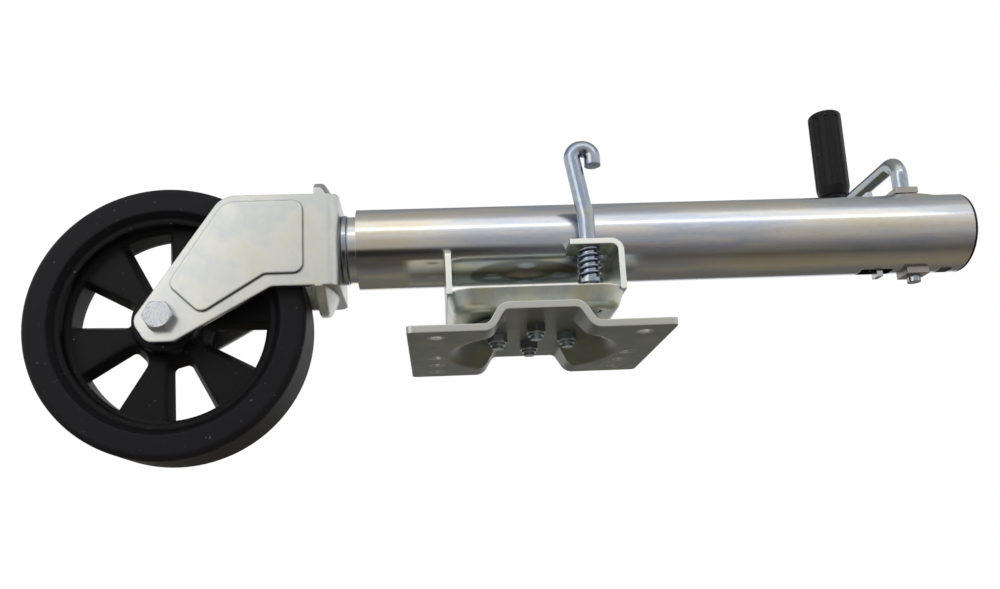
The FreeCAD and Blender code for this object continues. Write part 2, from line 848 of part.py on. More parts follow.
def square_bush(label, side, bore, rise):
    """Bush with a square flange that sits on the curve of the tube."""
    body = new_body(label, d.crank_place, 0, d.axis_height, NO_TURN if side > 0 else UPSIDE_DOWN)
    seat = d.tube_diameter / 2 + rise
    flange_top = seat + d.bush_flange_height
    draw = draw_outline(sketch_on(body, "XY_Plane", tube_bore / 2), centred_box(
        d.bush_flange, d.bush_flange, d.bush_flange_corner))
    pad(body, draw, flange_top - tube_bore / 2)
    pocket(body, draw_circle(sketch_on(body, "YZ_Plane"), 0, 0, 2 * seat))
    barrel = draw_circle(sketch_on(body, "XY_Plane", pinion_top + d.gear_gap), 0, 0, d.bush_barrel)
    pad(body, barrel, flange_top - d.bush_flange_height / 2 - pinion_top - d.gear_gap)
    pocket(body, draw_circle(sketch_on(body, "XY_Plane"), 0, 0, bore))
    return body


def make_bearing_carrier():
    """Disc across the tube, held by two tabs in slots, that takes the jack's load."""
    body = new_body("bearing_carrier", d.carrier_place, 0, d.axis_height)
    disc = draw_circle(sketch_on(body, "YZ_Plane"), 0, 0, tube_bore - d.slot_clearance)
    draw_circle(disc, 0, 0, d.screw_journal + 2 * d.shaft_clearance)
    pad(body, disc, d.carrier_wall)
    reach = d.tube_diameter / 2 + d.carrier_tab_reach
    half = d.carrier_tab / 2
    start = tube_bore / 2 - d.carrier_tab_root
    tabs = sketch_on(body, "YZ_Plane")
    for side in (1, -1):
        draw_outline(tabs, [(-half, side * start), (half, side * start), (half, side * reach),
                            (-half, side * reach)])
    pad(body, tabs, d.carrier_wall)


# Screw, thrust bearing and bevel gears

def make_lead_screw():
    """Screw with a thrust collar and a journal that carries the driven gear."""
    collar_end = race_start
    collar_start = collar_end - d.screw_collar_height
    left, bevel = d.screw_left_end, d.screw_chamfer
    radius, journal = d.screw_diameter / 2, d.screw_journal / 2
    body = turned("lead_screw", [
        (0, left), (radius - bevel, left), (radius, left + bevel), (radius, collar_start),
        (d.screw_collar / 2, collar_start), (d.screw_collar / 2, collar_end),
        (journal, collar_end), (journal, gear_front - d.gear_gap), (0, gear_front - d.gear_gap)],
        0, 0, d.axis_height, ALONG_X)
    pocket(body, draw_circle(sketch_on(body, "YZ_Plane"), 0, gear_pin_place, d.roll_pin))


def make_thrust_bearing():
    """Two flat races with a ring of balls in a cage between them."""
    bore = d.screw_journal + 2 * d.shaft_clearance
    turned("thrust_race_screw", tube_section(bore, d.race_outer, 0, d.race_wall),
           race_start, 0, d.axis_height, ALONG_X)
    turned("thrust_race_carrier", tube_section(bore + 2 * d.bearing_gap, d.race_outer, 0, d.race_wall),
           d.carrier_place - d.race_wall, 0, d.axis_height, ALONG_X)
    middle = race_start + d.race_wall + d.bearing_gap + d.ball_diameter / 2
    circle = (bore + d.race_outer) / 4
    cage = turned("ball_cage", tube_section(
        bore + d.ball_diameter, d.race_outer - d.ball_diameter / 2, -d.cage_wall / 2, d.cage_wall / 2),
        middle, 0, d.axis_height, ALONG_X)
    hole = draw_circle(sketch_on(cage, "XY_Plane"), circle, 0, d.ball_diameter + 2 * d.bearing_gap)
    cut = pocket(cage, hole)
    doc.recompute()
    pattern(cage, [cut], d.ball_count)
    balls = []
    count = int(round(d.ball_count.value))
    for k in range(count):
        angle = 2 * math.pi * k / count
        spot = FreeCAD.Vector(circle.value * math.cos(angle), circle.value * math.sin(angle), 0)
        balls.append(Part.makeSphere(d.ball_diameter.value / 2, spot))
    code_shape("thrust_balls", Part.makeCompound(balls), middle, 0, d.axis_height, ALONG_X)


def bevel_gear(teeth, mate, bore, hub, back, shift):
    """A straight bevel gear whose cones meet in the origin, with its back at -Z.

    Every flank is a plane through the apex, so a section of a tooth at one
    height is the same outline as at another, scaled by the distance.
    """
    module, face = d.gear_module.value, d.gear_face.value
    far, radius = module * mate / 2, module * teeth / 2
    slant = math.hypot(far, radius)
    sine, cosine = radius / slant, far / slant
    near = far * (1 - face / slant)
    depth = d.gear_root_depth.value
    pitch_half = math.pi * module / 4 - d.gear_backlash.value / 2
    slope = math.tan(math.radians(d.gear_pressure_angle.value))

    def section_point(offset):
        """Flank point at a height over the pitch cone, carried to the plane z = -far."""
        half_width = pitch_half - offset * slope * (1 + offset / (2 * module))
        scale = far / (far - offset * sine)
        return (radius + offset * cosine) * scale, half_width * scale

    profile = [section_point(offset) for offset in (-depth - module / 4, 0, module / 2, module)]
    root = section_point(-depth)[0]
    blank_points = [(bore, -near), (root * near / far, -near), (root, -far), (hub, -far),
                    (hub, -far - back), (bore, -far - back)]
    blank = Part.Face(Part.makePolygon([
        FreeCAD.Vector(r, 0, z) for r, z in blank_points + blank_points[:1]]))
    gear = blank.revolve(FreeCAD.Vector(0, 0, 0), Z_AXIS, 360)
    outline = profile + [(r, -w) for r, w in reversed(profile)]
    wires = []
    for height in (far, near):
        corners = [FreeCAD.Vector(r, w, -far) * (height / far) for r, w in outline]
        wires.append(Part.makePolygon(corners + corners[:1]))
    tooth = Part.makeLoft(wires, True, True)
    cutters = []
    for k in range(int(teeth)):
        copy = tooth.copy()
        copy.rotate(FreeCAD.Vector(0, 0, 0), Z_AXIS, 360 * (k + shift) / teeth)
        cutters.append(copy)
    return gear.fuse(cutters).removeSplitter()


def make_gears():
    """Pinion on the crank and driven gear on the screw, in mesh on one apex."""
    pinion_bore = d.crank_journal.value / 2
    gear_bore = d.screw_journal.value / 2
    teeth, small = d.gear_teeth.value, d.pinion_teeth.value
    driven = bevel_gear(teeth, small, gear_bore, d.gear_hub.value / 2, gear_back.value, 0.5)
    pin_at = FreeCAD.Vector(-d.gear_hub.value, 0, gear_pin_place.value - d.crank_place.value)
    driven = driven.cut(Part.makeCylinder(d.roll_pin.value / 2, 2 * d.gear_hub.value, pin_at, X_AXIS))
    code_shape("driven_gear", driven, d.crank_place, 0, d.axis_height, ALONG_X)
    pinion = bevel_gear(small, teeth, pinion_bore, d.pinion_hub.value / 2, d.pinion_back.value, 0)
    half_pin = FreeCAD.Vector(-d.pinion_hub.value, 0, -pinion_pin_rise.value)
    pinion = pinion.cut(Part.makeCylinder(
        d.pinion_pin.value / 2, 2 * d.pinion_hub.value, half_pin, X_AXIS))
    code_shape("crank_pinion", pinion, d.crank_place, 0, d.axis_height, FreeCAD.Rotation(Y_AXIS, 180))


# Crank with its grip

def make_crank():
    """Bent rod: journal in the tube, arm across it and spindle for the grip."""
    body = new_body("crank_handle", d.crank_place, 0, d.axis_height)
    bore_top = pinion_top + d.gear_gap
    rod = draw_circle(sketch_on(body, "XY_Plane", pinion_top), 0, 0, d.crank_rod)
    path = sketch_on(body, "YZ_Plane")
    draw_outline(path, [
        (0, pinion_top), (0, d.crank_rise, d.crank_bend), (d.crank_arm, d.crank_rise, d.crank_bend),
        (d.crank_arm, d.crank_rise + d.crank_bend + d.grip_socket - d.grip_clearance)], closed=False)
    pipe = feature(body, "AdditivePipe", rod, "Rod")
    pipe.Spine = path
    low = d.tube_diameter / 2 + d.bush_flange_height + d.crank_tail
    journal = draw_circle(sketch_on(body, "XY_Plane", -low), 0, 0, d.crank_journal)
    pad(body, journal, low + bore_top)
    pocket(body, draw_circle(sketch_on(body, "YZ_Plane"), 0, pinion_pin_rise, d.pinion_pin))


def make_gear_pins():
    """Roll pins through the hub of each gear and its shaft."""
    turned("gear_roll_pin", tube_section(d.roll_pin / 2, d.roll_pin - 2 * d.pin_fit,
                                         -d.gear_hub / 2, d.gear_hub / 2),
           gear_pin_place, 0, d.axis_height)
    turned("pinion_roll_pin", tube_section(d.pinion_pin / 2, d.pinion_pin - 2 * d.pin_fit,
                                           -d.pinion_hub / 2, d.pinion_hub / 2),
           d.crank_place, 0, d.axis_height + pinion_pin_rise, ALONG_X)


def make_grip():
    """Moulded grip with lengthwise flutes, free to turn on the crank's spindle."""
    bore = d.crank_rod / 2 + d.grip_clearance
    radius, neck = d.grip_diameter / 2, d.grip_neck / 2
    base = d.axis_height + d.crank_rise + d.crank_bend + d.grip_clearance
    shoulder_height = d.grip_shoulder
    body = turned("grip", [
        (bore, 0), (neck, 0, d.grip_neck_edge), (radius, shoulder_height, d.grip_shoulder_round),
        (radius, d.grip_length, d.grip_top_edge), (0, d.grip_length), (0, d.grip_socket),
        (bore, d.grip_socket)], d.crank_place, d.crank_arm, base)
    flute = draw_circle(sketch_on(body, "XY_Plane", shoulder_height),
                        radius + d.grip_flute / 2 - d.grip_flute_depth, 0, d.grip_flute)
    cut = pocket(body, flute, d.grip_length - shoulder_height - 2 * d.grip_top_edge, both_ways=False,
                 reverse=True)
    doc.recompute()
    pattern(body, [cut], d.grip_flutes)


# Sliding leg

def make_leg():
    """Inner tube with its drive nut, guides, end plug and king pin."""
    length = d.leg_top_end - d.leg_low_end
    axis = d.axis_height
    turned("inner_tube", tube_section(leg_bore, d.leg_diameter, 0, length), d.leg_low_end, 0, axis, ALONG_X)
    thread = d.screw_diameter / 2 + d.nut_clearance
    turned("drive_nut", [
        (thread, -d.nut_length), (leg_bore / 2, -d.nut_length), (leg_bore / 2, 0),
        (d.leg_diameter / 2, 0), (d.leg_diameter / 2, d.nut_flange), (thread, d.nut_flange)],
        d.leg_top_end, 0, axis, ALONG_X)
    turned("leg_guide", tube_section(d.leg_diameter, tube_bore - 2 * d.guide_clearance,
                                     -d.leg_guide_length, 0), d.leg_top_end, 0, axis, ALONG_X)
    turned("mouth_guide", tube_section(
        d.leg_diameter + 2 * d.guide_clearance, tube_bore - 2 * d.shaft_clearance, 0, d.mouth_guide_length),
        d.tube_mouth + d.mouth_guide_inset, 0, axis, ALONG_X)
    bore = d.king_pin / 2
    edge = d.turned_edge
    turned("leg_plug", [
        (bore, -d.plug_flange), (d.leg_diameter / 2, -d.plug_flange, edge / 2),
        (d.leg_diameter / 2, 0), (leg_bore / 2, 0), (leg_bore / 2, d.plug_length, edge),
        (bore, d.plug_length)], d.leg_low_end, 0, axis, ALONG_X)
    turned("castor_race", [
        (bore, 0), (d.castor_race / 2, 0, edge), (d.castor_race / 2, d.castor_race_wall, edge),
        (bore, d.castor_race_wall)],
        d.leg_low_end - d.plug_flange - d.castor_race_wall, 0, axis, ALONG_X)
    head = crown_face - d.fork_wall - d.castor_gap - d.king_head_height
    shank = d.leg_low_end + d.plug_length - head
    turned("king_pin", [
        (0, 0), (d.king_head / 2, 0, d.king_head_edge), (d.king_head / 2, d.king_head_height),
        (bore, d.king_head_height), (bore, shank), (0, shank)], head, 0, axis, ALONG_X)


# Castor fork and wheel

def fork_outline(crown):
    """Side plate from the crown down to the eye round the axle."""
    low = -(d.wheel_drop + d.eye_low)
    return [
        (-d.eye_left, -d.wheel_drop - d.eye_shift, d.eye_round), (-d.eye_flat / 2, low, d.eye_round),
        (d.eye_flat / 2, low, d.eye_round),
        (crown - d.fork_knee_reach, -d.fork_bottom, d.fork_knee_round),
        (crown, -d.fork_bottom), (crown, d.fork_top),
        (crown - d.fork_shoulder_reach, d.fork_top, d.fork_shoulder_round)]


def panel_outline(crown, inset=0):
    """Raised panel of the side plate, a little smaller where the sheet is hollow."""
    high = d.panel_height - inset
    end = crown - d.panel_end_reach - inset
    return [
        (d.panel_left + inset, -d.panel_left_drop, d.panel_round),
        (d.panel_foot, -d.panel_foot_drop + inset, d.panel_round),
        (crown - d.panel_knee_reach + inset / 2, -high, d.panel_round),
        (end, -high, d.panel_round), (end, high, d.panel_round),
        (crown - d.panel_shoulder_reach + inset / 2, high, d.panel_round * 2)]


def make_fork():
    """Pressed fork: a dished crown, two side plates and a raised panel in each."""
    body = new_body("castor_fork", wheel_place, 0, d.axis_height)
    crown = crown_face - wheel_place
    wall, rim = d.fork_wall, d.crown_rim
    rim_start = crown - d.crown_cone
    turn_profile(body, [
        (crown, 0), (crown, rim), (rim_start - wall / 2, rim), (crown - wall, d.crown_flat),
        (crown - wall, 0)], axis="H_Axis", plane="XY_Plane")
    ends = sketch_on(body, "YZ_Plane")
    draw_outline(ends, [(-rim, d.fork_top), (rim, d.fork_top), (rim, 2 * rim), (-rim, 2 * rim)])
    draw_outline(ends, [(-rim, -d.fork_bottom), (rim, -d.fork_bottom), (rim, -2 * rim), (-rim, -2 * rim)])
    pocket(body, ends)
    lip = rim_start - d.crown_lip
    step = shoulder(d.crown_cone, rim - d.crown_flat, wall)
    turn_profile(body, [
        (crown, 0), (crown, d.crown_flat, d.crown_round), (rim_start, rim, d.crown_round / 2),
        (lip, rim), (lip, rim - wall), (rim_start - step, rim - wall, d.turned_edge),
        (crown - wall, d.crown_flat - step, d.crown_round), (crown - wall, 0)],
        axis="H_Axis", plane="XY_Plane")
    half = fork_outside / 2
    for lift in (fork_inside / 2, -half):
        pad(body, draw_outline(sketch_on(body, "XZ_Plane", lift), fork_outline(crown)), wall)
    sides = sketch_on(body, "XY_Plane")
    bend = d.fork_bend
    for side in (1, -1):
        draw_outline(sides, [
            (-rim, side * half), (crown, side * half, bend), (crown, side * (half - 2 * bend)),
            (2 * crown, side * (half - 2 * bend)), (2 * crown, side * 2 * rim), (-rim, side * 2 * rim)])
    pocket(body, sides)
    rise = d.panel_rise
    for lift in (half, -half - rise):
        pad(body, draw_outline(sketch_on(body, "XZ_Plane", lift), panel_outline(crown)), rise)
    for lift in (fork_inside / 2 + rise, -fork_inside / 2):
        hollow = draw_outline(sketch_on(body, "XZ_Plane", lift), panel_outline(crown, wall / 2))
        pocket(body, hollow, rise, both_ways=False)
    pocket(body, draw_circle(sketch_on(body, "YZ_Plane"), 0, 0, d.king_pin + 2 * d.castor_gap))
    axle = draw_circle(sketch_on(body, "XZ_Plane"), 0, -d.wheel_drop, d.axle_diameter + d.axle_play)
    pocket(body, axle)


def make_wheel():
    """Moulded centre with six windows, solid tyre and a bush for the axle."""
    where = (wheel_place, 0, wheel_height, ALONG_Y)
    rim, hub, web = rim_radius, d.wheel_hub / 2, d.web_wall / 2
    half, bore, side = d.rim_width / 2, d.wheel_bush / 2, d.wheel_width / 2
    centre = turned("wheel_centre", [
        (bore, -side), (hub, -side, d.wheel_hub_edge), (hub, -web, d.wheel_fillet), (rim, -web),
        (rim, web), (hub, web, d.wheel_fillet), (hub, side, d.wheel_hub_edge), (bore, side)], *where)
    cut_windows(centre, hub + d.window_from_hub, rim - d.rim_wall / 2, web + d.wheel_fillet)
    rim_in = rim - d.rim_wall
    ledge = rim_in - d.rim_ledge
    turn_profile(centre, [
        (rim, -half), (rim, half), (rim_in, half), (rim_in, web, d.rim_round), (ledge, web),
        (ledge, -web), (rim_in, -web, d.rim_round), (rim_in, -half)])
    doc.recompute()
    centre.Placement = FreeCAD.Placement(
        centre.Placement.Base, ALONG_Y.multiply(FreeCAD.Rotation(Z_AXIS, 360 - d.window_turn.value)))
    tread, face = d.wheel_diameter / 2, rim + d.tyre_lip
    turned("tyre", [
        (rim, -half), (face, -side, d.tyre_lip_round), (tread, -side, d.tyre_edge),
        (tread, side, d.tyre_edge), (face, side, d.tyre_lip_round), (rim, half)], *where)
    axle_bore = d.axle_diameter + 2 * d.shaft_clearance
    turned("wheel_bush", tube_section(axle_bore, d.wheel_bush, -side, side), *where)
    spacer = tube_section(axle_bore, d.spacer_diameter, 0, d.wheel_side_gap - d.axle_play)
    turned("axle_spacer_near", spacer, wheel_place, -fork_inside / 2, wheel_height, ALONG_Y)
    turned("axle_spacer_far", spacer, wheel_place, fork_inside / 2, wheel_height,
           FreeCAD.Rotation(X_AXIS, 90))


def cut_windows(centre, inner, outer, reach):
    """Windows between the spokes, widening from the middle plane to both faces."""
    window = sketch_on(centre, "XY_Plane")
    draw_outline(window, [
        (inner, -d.window_narrow / 2, d.window_round), (outer, -d.window_wide / 2),
        (outer, d.window_wide / 2), (inner, d.window_narrow / 2, d.window_round)])
    cuts = []
    for upward in (True, False):
        cuts.append(flare(pocket(centre, window, reach, both_ways=False, reverse=upward), d.window_flare))
    doc.recompute()
    pattern(centre, cuts, d.window_count)


def make_axle():
    """Axle bolt with its head on the near side plate, and its locking nut."""
    flats, radius = d.axle_across_flats.value, d.axle_diameter.value / 2
    length = fork_outside.value + d.axle_nut_height.value + d.axle_tail.value
    head = hex_prism(flats, d.axle_head_height.value, d.axle_bevel.value)
    shank = Part.makeCylinder(radius, length, FreeCAD.Vector(0, 0, -length))
    bolt = head.fuse(shank).removeSplitter()
    code_shape("axle_bolt", bolt, wheel_place, -fork_outside / 2, wheel_height,
               FreeCAD.Rotation(X_AXIS, 90))
    nut = lock_nut(d.axle_across_flats, d.axle_bevel, d.axle_nut_hex_height, d.axle_nut_height,
                   d.axle_nut_collar, d.axle_diameter)
    code_shape("axle_nut", nut, wheel_place, fork_outside / 2, wheel_height, ALONG_Y)


make_mounting_plate()
make_pivot_hub()
make_retaining_disc()
make_pivot_bolts()
make_pivot_nuts()
make_swivel_bracket()
make_lock_pin()
make_lock_collar()
make_lock_spring()
make_outer_tube()
make_end_cap()
square_bush("upper_crank_bush", 1, d.crank_rod + 2 * d.shaft_clearance, d.boss_rise)
square_bush("lower_crank_bush", -1, d.crank_journal + 2 * d.shaft_clearance, 0)
make_bearing_carrier()
make_lead_screw()
make_thrust_bearing()
make_gears()
make_gear_pins()
make_crank()
make_grip()
make_leg()
make_fork()
make_wheel()
make_axle()
doc.recompute()

for item in doc.Objects:
    if "Invalid" in item.State or "Error" in item.State:
        raise RuntimeError(f"{item.Label} did not recompute: {item.State}")
for node in nodes:
    if node.Shape.isNull() or not node.Shape.isValid():
        raise RuntimeError(f"{node.Label} has no valid shape")

os.makedirs("parts", exist_ok=True)
for node in nodes:
    node.Shape.exportStep(f"parts/{node.Label}.step")
    print(node.Label, len(node.Shape.Solids), round(node.Shape.Volume, 1))
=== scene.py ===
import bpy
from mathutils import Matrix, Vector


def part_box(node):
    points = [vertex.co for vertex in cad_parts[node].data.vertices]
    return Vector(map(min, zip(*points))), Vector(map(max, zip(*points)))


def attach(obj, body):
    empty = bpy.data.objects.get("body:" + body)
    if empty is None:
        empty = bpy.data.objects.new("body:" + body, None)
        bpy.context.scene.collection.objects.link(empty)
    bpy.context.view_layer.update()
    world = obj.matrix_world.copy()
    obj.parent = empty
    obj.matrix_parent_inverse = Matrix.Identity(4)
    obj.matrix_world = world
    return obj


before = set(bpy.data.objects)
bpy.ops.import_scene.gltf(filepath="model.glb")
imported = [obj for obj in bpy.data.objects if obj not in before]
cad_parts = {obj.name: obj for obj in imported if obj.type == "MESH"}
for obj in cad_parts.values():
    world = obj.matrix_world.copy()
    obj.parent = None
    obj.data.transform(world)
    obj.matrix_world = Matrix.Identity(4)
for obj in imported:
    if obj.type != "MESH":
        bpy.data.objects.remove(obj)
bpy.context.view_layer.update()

import math
import bpy
from mathutils import Vector

bl_info = {
    "name": "Trailer jack dressing",
    "version": (1, 0, 0),
    "blender": (4, 5, 0),
    "location": "3D View > Sidebar > Jack",
    "description": "Finishes, weld beads and studio for the wheeled trailer jack",
    "category": "Object",
}

MM = 0.001

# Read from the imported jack: the outer tube's radius, the height of the tubes' axis and where the ears' outer
# faces are along X. The ears' wall is the bracket's.
TUBE_RADIUS = (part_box("outer_tube")[1].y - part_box("outer_tube")[0].y) / 2
TUBE_AXIS = (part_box("inner_tube")[1].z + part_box("inner_tube")[0].z) / 2
EAR_FACES = (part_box("swivel_bracket")[0].x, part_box("swivel_bracket")[1].x)
EAR_WALL = 4 * MM

# A weld bead starts at the far end of an ear's saddle and runs a quarter round the far side of the tube.
# That is a known fault: it belongs under the tube, in the saddle.
BEAD_CORNERS = 12
BEAD_START = math.radians(-45)
BEAD_SWEEP = math.radians(90)
BEAD_STAND = 0.3            # how far its middle stands off the tube, in its own radii
BEAD_MERGE = 0.01 * MM
RIPPLE_DEPTH = 0.16         # in bead radii
RIPPLES_PER_TURN = 60       # 3.2 mm from one ripple to the next

# Plating and mouldings. A pixel of the photo is 0.74 mm of the jack, so a grain of the real 0.1 mm or so
# wouldn't show. It is drawn at 0.3 to 1.5 mm.
FILM_TINTS = ("#e8dcb0", "#b9c8e8")     # the yellow and the blue of the passivation film
TINT_GAIN = 1.35                        # keeps a tinted tone as light as the plain one
EDGE_SAMPLES = 4
# samples of the painted shade in inner corners
CREVICE_SHADE_SAMPLES = 8
PLATING_RELIEF = 0.05 * MM
MOULDED_RELIEF = 0.08 * MM
MOULDED_CLOUD = 18 * MM
MOULDED_MOTTLE = 0.15                   # how much the clouds darken the colour; they lighten it by twice that
MOULDED_IOR = 1.5
DUST_SIZE = 2.6 * MM
DUST = "#6b696e"

# The camera that was fitted to the photo: place in metres, turn in degrees, shift in shares of the width
CAMERA_PLACE = (-0.07436, -0.65188, -0.14758)
CAMERA_TURN = (100.7211, 2.6449, -2.5053)
CAMERA_SHIFT = (0.01934, 0.09254)
CAMERA_NEAR, CAMERA_FAR = 0.01, 50
SENSOR_MM = 36

# What the tube mirrors: cards painted edge to edge, with a dark place low in front of the jack.
# The cards glow and only reflections see them: a painted reflection.
CARD_WIDTH = 3.2
# the dark patch on the cards paints a dark reflection in the tube
CARD_DARK_REFLECTION = "#2c2a2b"
DARK_REFLECTION_PLACE = (-0.16, -0.75, -0.276)
DARK_REFLECTION_REACH = (0.5, 0.7, 0.5)
FLOOR_CARD = [
    (0.0, "#c0bdba"), (0.28, "#a29d9a"), (0.39, "#817d78"), (0.438, "#625e5a"), (0.48, "#827c73"),
    (0.52, "#918a7b"), (0.575, "#807b70"), (0.75, "#706f68"), (1.0, "#66665f")]
ROOM_CARD = [(0.0, "#c0bdba"), (0.38, "#cbc8c5"), (0.77, "#eeeeee"), (1.0, "#f6f7f8")]
ROOM_CARD_PLACE, ROOM_CARD_HEIGHT = -1.6, 1.3
CEILING_CARD = [(0.0, "#dddddb"), (0.18, "#bfbfbb"), (1.0, "#7b7e80")]
CEILING_HEIGHT, CEILING_RUN = 1.3, (-0.4, 1.9)


def linear(code):
    """Linear colour of an sRGB hex code such as "#c8c9c4"."""
    parts = [int(code[i:i + 2], 16) / 255 for i in (1, 3, 5)]
    bent = [p / 12.92 if p <= 0.04045 else ((p + 0.055) / 1.055) ** 2.4 for p in parts]
    return (*bent, 1.0)


def colour_choice(name, code, description):
    return bpy.props.FloatVectorProperty(
        name=name, description=description, subtype="COLOR", size=4, min=0, max=1, default=linear(code))


def length_choice(name, metres, description):
    return bpy.props.FloatProperty(name=name, description=description, unit="LENGTH", default=metres, min=0)


def power_choice(name, watts, description):
    return bpy.props.FloatProperty(name=name, description=description, unit="POWER", default=watts)


class JackFinishes(bpy.types.PropertyGroup):
    """Colours of the jack's own materials."""
    bright_zinc: colour_choice("Bright zinc", "#cfcdc8", "Plating on the tubes")
    sheet_zinc: colour_choice("Passivated zinc", "#d0d2c2", "Plating on the swivel bracket")
    fork_zinc: colour_choice("Satin zinc", "#cbcbc4", "Plating on the castor fork")
    # The underside colour below is darker than the plating as a painted shade; the disc and hub take it all
    # over
    plate_zinc: colour_choice("Dull zinc", "#85877d", "Plating on the bolt-on plate's underside")
    cut_zinc: colour_choice("Cut edge", "#b9bab4", "Plating on the plate's sheared sides and upper face")
    # near-white partly as a painted highlight on the bracket's cut edges
    cut_and_highlit_sheet: colour_choice("Cut sheet", "#eceee6", "Plating on the cut edges of the bracket")
    rod_zinc: colour_choice("Rod zinc", "#a2a9af", "Plating on the crank and the lock pin")
    head_zinc: colour_choice("Bolt head", "#c3c7ca", "Plating on the axle bolt")
    bolt_zinc: colour_choice("Blue zinc", "#b3bbbf", "Plating on bolts and nuts")
    spring_wire: colour_choice("Spring wire", "#a3adb8", "Plating on the lock spring")
    sintered: colour_choice("Sintered steel", "#a8a29c", "Crank bushes")
    turned_steel: colour_choice("Turned steel", "#a9abad", "Machined inner parts")
    moulding: colour_choice("Black moulding", "#0b0a0d", "Wheel centre and end cap")
    rubber: colour_choice("Black rubber", "#110f13", "Solid tyre")
    grip: colour_choice("Grip moulding", "#0f0e11", "Crank grip")
    guide: colour_choice("Guide plastic", "#c9c8c0", "Guides between the tubes")


class JackDetails(bpy.types.PropertyGroup):
    """Sizes of the details that are made here."""
    bead_radius: length_choice("Weld bead", 1.7 * MM, "Radius of the weld beads beside the ears")
    bead_step: bpy.props.IntProperty(
        name="Bead rings", description="Rings along one weld bead", default=54, min=12, max=200)


class JackStudio(bpy.types.PropertyGroup):
    """Camera, floor, cards and lamps."""
    floor_drop: length_choice("Floor below plate", 0.8, "How far the floor lies under the plate's face")
    floor_reach: length_choice("Floor reach", 2.6, "Half side of the floor sheet")
    card_drop: length_choice("Card below plate", 0.276, "How far the low card lies under the plate's face")
    floor_colour: colour_choice("Floor", "#eeeeeb", "Pale floor sheet")
    lens: bpy.props.FloatProperty(
        name="Lens", description="Focal length of the camera", default=32.4355, subtype="DISTANCE_CAMERA")
    room_level: bpy.props.FloatProperty(
        name="Room level", description="Plain light of the room", default=0.92, min=0)
    top_power: power_choice("Top lamp", 1.8, "Power of the overhead softbox")
    strip_power: power_choice("Strip lamp", 1.7, "Power of the narrow lamp that draws the streak on the tube")
    side_power: power_choice("Side lamp", 3.0, "Power of the lamp left of the camera")


# Materials

def add_node(tree, kind, settings=None, links=None):
    """Add one shader node, set its fields and inputs, and link sockets into it.

    Stops are (place, colour) pairs along a colour ramp.
    """
    node = tree.nodes.new(kind)
    for key, value in (settings or {}).items():
        if key == "stops":
            row = node.color_ramp.elements
            while len(row) < len(value):
                row.new(0.5)
            for stop, (place, colour) in zip(row, value):
                stop.position, stop.color = place, colour
        elif isinstance(key, int) or key in node.inputs:
            node.inputs[key].default_value = value
        else:
            setattr(node, key, value)
    for key, socket in (links or {}).items():
        tree.links.new(socket, node.inputs[key])
    return node


def blank_material(name):
    """An empty material, its node tree and the object's own coordinates."""
    material = bpy.data.materials.new(name)
    material.use_nodes = True
    tree = material.node_tree
    tree.nodes.clear()
    return material, tree, add_node(tree, "ShaderNodeTexCoord").outputs["Object"]


def grey(level):
    return (level, level, level, 1.0)


def shade(colour, factor):
    """A colour made lighter or darker."""
    return (*[min(1.0, part * factor) for part in colour[:3]], 1.0)


def cast(colour, tint, amount):
    """A colour leaned towards a tint."""
    return (*[a * (1 - amount) + a * b * TINT_GAIN * amount for a, b in zip(colour[:3], tint[:3])], 1.0)


def painted_edge_highlight(tree, colour, corner, brighter):
    """Painted highlight: brighter metal where the softened normal leaves the true one, at cut edges."""
    true = add_node(tree, "ShaderNodeNewGeometry").outputs["Normal"]
    meet = add_node(tree, "ShaderNodeVectorMath", {"operation": "DOT_PRODUCT"}, {0: corner, 1: true})
    share = add_node(tree, "ShaderNodeMapRange",
                     {"From Min": 0.80, "From Max": 0.99, "To Min": 1.0, "To Max": 0.0},
                     {"Value": meet.outputs["Value"]})
    return add_node(tree, "ShaderNodeMix", {"data_type": "RGBA", 7: brighter},
                    {0: share.outputs["Result"], 6: colour}).outputs[2]


def painted_crevice_shade(tree, colour, reach):
    """Painted shade: darker metal in the inner corners, where another face stands within reach."""
    air = add_node(tree, "ShaderNodeAmbientOcclusion",
                   {"samples": CREVICE_SHADE_SAMPLES, "only_local": True, "Distance": reach})
    dim = add_node(tree, "ShaderNodeValToRGB", {"stops": [(0.62, grey(0.30)), (0.93, grey(1.0))]},
                   {"Fac": air.outputs["AO"]})
    return add_node(tree, "ShaderNodeMix", {"data_type": "RGBA", "blend_type": "MULTIPLY", 0: 1.0},
                    {6: colour, 7: dim.outputs["Color"]}).outputs[2]


def cut_and_lit_faces(tree, colour, brighter, axis, span, both=True):
    """Brighter metal where the normal leans along one axis of the piece, at span[1] and beyond: cut faces and
    painted light.

    both: whether faces that look the other way along the axis count as well.
    """
    facing = add_node(tree, "ShaderNodeTexCoord").outputs["Normal"]
    lean = add_node(tree, "ShaderNodeSeparateXYZ", links={"Vector": facing}).outputs[axis]
    if both:
        lean = add_node(tree, "ShaderNodeMath", {"operation": "ABSOLUTE"}, {0: lean}).outputs["Value"]
    share = add_node(tree, "ShaderNodeMapRange", {"From Min": span[0], "From Max": span[1]}, {"Value": lean})
    return add_node(tree, "ShaderNodeMix", {"data_type": "RGBA", 7: brighter},
                    {0: share.outputs["Result"], 6: colour}).outputs[2]


